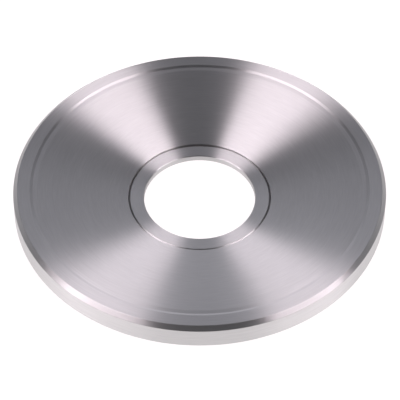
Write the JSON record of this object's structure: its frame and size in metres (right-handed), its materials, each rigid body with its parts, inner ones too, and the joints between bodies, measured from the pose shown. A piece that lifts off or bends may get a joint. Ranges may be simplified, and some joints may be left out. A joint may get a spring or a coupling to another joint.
{
  "type": "blind flange",
  "caption": "Round flange disc with a thick chamfered rim, a dished web and a flat ring around a plain central bore.",
  "frame": {"origin": "centre of the flat back face, on the bore axis", "axes": "+Z along the bore axis, from the flat back towards the dished front; X and Y are any two directions across the disc"},
  "size_m": [0.18, 0.18, 0.0125],
  "materials": {
    "turned_plate": "fine turned, satin with clear concentric tool marks",
    "turned_ring": "turned, a little duller than the plate"
  },
  "bodies": {
    "root": {"flange_plate": "turned_plate", "hub_ring": "turned_ring"}
  },
  "joints": []
}
